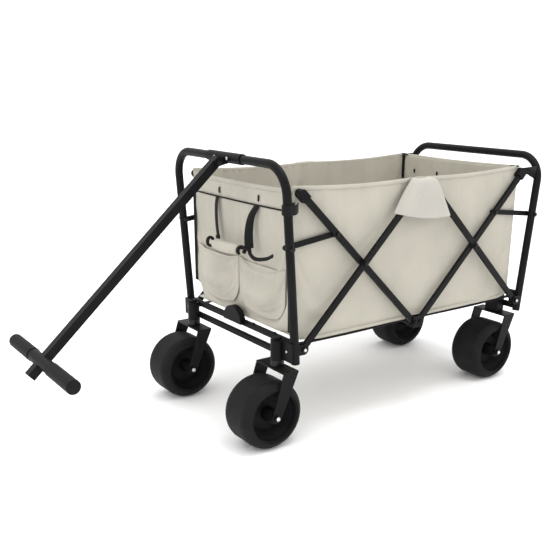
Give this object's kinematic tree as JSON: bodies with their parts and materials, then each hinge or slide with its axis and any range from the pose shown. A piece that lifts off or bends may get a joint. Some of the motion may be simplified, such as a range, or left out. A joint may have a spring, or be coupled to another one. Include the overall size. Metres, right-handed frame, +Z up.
{
  "type": "folding beach cart",
  "caption": "Folding fabric beach cart with two U-shaped end frames, scissor-link sides, wide balloon wheels on swivel and fixed forks, front pockets and a pivoting T pull handle.",
  "frame": {"origin": "on the ground, under the middle of the outline with the handle lowered to the front", "axes": "+Z up, -Y toward the pull handle, +Y toward the rear frame, +X the right side seen from behind"},
  "size_m": [0.558, 1.49, 0.7186],
  "materials": {
    "frame": "satin powder coat, near black",
    "plastic": "matt moulded",
    "hub": "matt moulded",
    "tyre": "smooth, low sheen",
    "grip": "matt foam sleeve",
    "zinc": "zinc plated",
    "canvas": "woven polyester canvas",
    "webbing": "woven strap"
  },
  "bodies": {
    "front_frame": {"front_frame": "frame", "front_crossbars": "frame", "front_foot_brackets": "frame", "front_foot_plugs": "plastic", "front_pins": "zinc", "caster_brackets": "frame", "caster_bearings": "zinc", "handle_clamp": "plastic", "handle_bolts": "zinc", "handle_clip": "plastic"},
    "front_panel": {"front_panel": "canvas", "front_pockets": "canvas"},
    "handle": {"handle_tube": "frame", "handle_crossbar": "plastic", "handle_grips": "grip", "handle_end_cap": "plastic"},
    "rear_frame": {"rear_frame": "frame", "rear_crossbars": "frame", "rear_foot_brackets": "frame", "rear_foot_plugs": "plastic", "rear_pins": "zinc", "rear_forks": "frame", "rear_axles": "zinc"},
    "rear_panel": {"rear_panel": "canvas"},
    "centre": {"bottom_hubs": "frame", "centre_tube": "frame", "base_straps": "webbing"},
    "bag": {"bag_sides": "canvas", "bag_floor": "canvas"},
    "caster_left": {"caster_fork_left": "frame", "caster_axle_left": "zinc"},
    "top_hub_left": {"top_hub_left": "frame"},
    "wheel_front_left": {"tyre_front_left": "tyre", "hub_front_left": "hub"},
    "rising_front_left": {"rising_link_front_left": "frame"},
    "falling_front_left": {"falling_link_front_left": "frame", "corner_cap_front_left": "plastic"},
    "brace_front_left": {"brace_front_left": "frame"},
    "wheel_rear_left": {"tyre_rear_left": "tyre", "hub_rear_left": "hub"},
    "rising_rear_left": {"rising_link_rear_left": "frame"},
    "falling_rear_left": {"falling_link_rear_left": "frame", "corner_cap_rear_left": "plastic"},
    "brace_rear_left": {"brace_rear_left": "frame"},
    "caster_right": {"caster_fork_right": "frame", "caster_axle_right": "zinc"},
    "top_hub_right": {"top_hub_right": "frame"},
    "wheel_front_right": {"tyre_front_right": "tyre", "hub_front_right": "hub"},
    "rising_front_right": {"rising_link_front_right": "frame"},
    "falling_front_right": {"falling_link_front_right": "frame", "corner_cap_front_right": "plastic"},
    "brace_front_right": {"brace_front_right": "frame"},
    "wheel_rear_right": {"tyre_rear_right": "tyre", "hub_rear_right": "hub"},
    "rising_rear_right": {"rising_link_rear_right": "frame"},
    "falling_rear_right": {"falling_link_rear_right": "frame", "corner_cap_rear_right": "plastic"},
    "brace_rear_right": {"brace_rear_right": "frame"}
  },
  "joints": [
    {"name": "fold", "type": "hinge", "parent": "front_frame", "child": "rising_front_right", "pos_m": [0.262, -0.13462, 0.253], "axis": [1, 0, 0], "range_deg": [0, 33.88], "deforming": ["bag_sides", "bag_floor", "base_straps"]},
    {"name": "crossing_front_right", "type": "hinge", "parent": "rising_front_right", "child": "falling_front_right", "pos_m": [0.257, 0.06088, 0.445], "axis": [1, 0, 0], "range_deg": [-67.78, 0]},
    {"name": "hub_front_right", "type": "hinge", "parent": "falling_front_right", "child": "centre", "pos_m": [0.252, 0.25638, 0.253], "axis": [1, 0, 0], "range_deg": [0, 33.9]},
    {"name": "hub_rear_right", "type": "hinge", "parent": "centre", "child": "falling_rear_right", "pos_m": [0.252, 0.27638, 0.253], "axis": [1, 0, 0], "range_deg": [0, 33.9]},
    {"name": "crossing_rear_right", "type": "hinge", "parent": "falling_rear_right", "child": "rising_rear_right", "pos_m": [0.257, 0.47188, 0.445], "axis": [1, 0, 0], "range_deg": [-67.78, 0]},
    {"name": "foot_rear_right", "type": "hinge", "parent": "rising_rear_right", "child": "rear_frame", "pos_m": [0.262, 0.66738, 0.253], "axis": [1, 0, 0], "range_deg": [0, 33.9]},
    {"name": "top_front_right", "type": "hinge", "parent": "rising_front_right", "child": "top_hub_right", "pos_m": [0.262, 0.25638, 0.637], "axis": [1, 0, 0], "range_deg": [-33.9, 0]},
    {"name": "foot_front_left", "type": "hinge", "parent": "front_frame", "child": "rising_front_left", "pos_m": [-0.262, -0.13462, 0.253], "axis": [1, 0, 0], "range_deg": [0, 33.9]},
    {"name": "crossing_front_left", "type": "hinge", "parent": "rising_front_left", "child": "falling_front_left", "pos_m": [-0.257, 0.06088, 0.445], "axis": [1, 0, 0], "range_deg": [-67.78, 0]},
    {"name": "top_front_left", "type": "hinge", "parent": "rising_front_left", "child": "top_hub_left", "pos_m": [-0.262, 0.25638, 0.637], "axis": [1, 0, 0], "range_deg": [-33.9, 0]},
    {"name": "hub_rear_left", "type": "hinge", "parent": "centre", "child": "falling_rear_left", "pos_m": [-0.252, 0.27638, 0.253], "axis": [1, 0, 0], "range_deg": [0, 33.9]},
    {"name": "crossing_rear_left", "type": "hinge", "parent": "falling_rear_left", "child": "rising_rear_left", "pos_m": [-0.257, 0.47188, 0.445], "axis": [1, 0, 0], "range_deg": [-67.78, 0]},
    {"name": "brace_front_left_turn", "type": "hinge", "parent": "front_frame", "child": "brace_front_left", "pos_m": [-0.244, -0.17462, 0.51037], "axis": [1, 0, 0], "range_deg": [0, 53.96]},
    {"name": "brace_rear_left_turn", "type": "hinge", "parent": "rear_frame", "child": "brace_rear_left", "pos_m": [-0.244, 0.71635, 0.50959], "axis": [1, 0, 0], "range_deg": [-51.26, 0]},
    {"name": "brace_front_right_turn", "type": "hinge", "parent": "front_frame", "child": "brace_front_right", "pos_m": [0.244, -0.17462, 0.51037], "axis": [1, 0, 0], "range_deg": [0, 53.96]},
    {"name": "brace_rear_right_turn", "type": "hinge", "parent": "rear_frame", "child": "brace_rear_right", "pos_m": [0.244, 0.71635, 0.50959], "axis": [1, 0, 0], "range_deg": [-51.26, 0]},
    {"name": "front_panel_lift", "type": "slide", "parent": "front_frame", "child": "front_panel", "axis": [0, 0, 1], "range_m": [0, 0.1533]},
    {"name": "rear_panel_lift", "type": "slide", "parent": "rear_frame", "child": "rear_panel", "axis": [0, 0, 1], "range_m": [0, 0.1533]},
    {"name": "bag_lift", "type": "slide", "parent": "centre", "child": "bag", "axis": [0, 0, 1], "range_m": [0, 0.1533]},
    {"name": "swivel_left", "type": "hinge", "parent": "front_frame", "child": "caster_left", "pos_m": [-0.212, -0.17662, 0.24], "axis": [0, 0, 1], "continuous": true},
    {"name": "spin_front_left", "type": "hinge", "parent": "caster_left", "child": "wheel_front_left", "pos_m": [-0.212, -0.21962, 0.09], "axis": [1, 0, 0], "continuous": true},
    {"name": "spin_rear_left", "type": "hinge", "parent": "rear_frame", "child": "wheel_rear_left", "pos_m": [-0.19, 0.62638, 0.09], "axis": [1, 0, 0], "continuous": true},
    {"name": "swivel_right", "type": "hinge", "parent": "front_frame", "child": "caster_right", "pos_m": [0.212, -0.17662, 0.24], "axis": [0, 0, 1], "continuous": true},
    {"name": "spin_front_right", "type": "hinge", "parent": "caster_right", "child": "wheel_front_right", "pos_m": [0.212, -0.21962, 0.09], "axis": [1, 0, 0], "continuous": true},
    {"name": "spin_rear_right", "type": "hinge", "parent": "rear_frame", "child": "wheel_rear_right", "pos_m": [0.19, 0.62638, 0.09], "axis": [1, 0, 0], "continuous": true},
    {"name": "handle_pitch", "type": "hinge", "parent": "front_frame", "child": "handle", "pos_m": [0, -0.21823, 0.696], "axis": [1, 0, 0], "range_deg": [-132, 34]}
  ],
  "couplings": [
    {"joint": "crossing_front_right", "follows": "fold", "ratio": -2},
    {"joint": "hub_front_right", "follows": "fold", "ratio": 1},
    {"joint": "hub_rear_right", "follows": "fold", "ratio": 1},
    {"joint": "crossing_rear_right", "follows": "fold", "ratio": -2},
    {"joint": "foot_rear_right", "follows": "fold", "ratio": 1},
    {"joint": "top_front_right", "follows": "fold", "ratio": -1},
    {"joint": "foot_front_left", "follows": "fold", "ratio": 1},
    {"joint": "crossing_front_left", "follows": "fold", "ratio": -2},
    {"joint": "top_front_left", "follows": "fold", "ratio": -1},
    {"joint": "hub_rear_left", "follows": "fold", "ratio": 1},
    {"joint": "crossing_rear_left", "follows": "fold", "ratio": -2},
    {"joint": "brace_front_left_turn", "follows": "fold", "ratio": 1.5922},
    {"joint": "brace_rear_left_turn", "follows": "fold", "ratio": -1.5127},
    {"joint": "brace_front_right_turn", "follows": "fold", "ratio": 1.5922},
    {"joint": "brace_rear_right_turn", "follows": "fold", "ratio": -1.5127},
    {"joint": "front_panel_lift", "follows": "fold", "m_per_rad": 0.25836},
    {"joint": "rear_panel_lift", "follows": "fold", "m_per_rad": 0.25836},
    {"joint": "bag_lift", "follows": "fold", "m_per_rad": 0.25836}
  ]
}
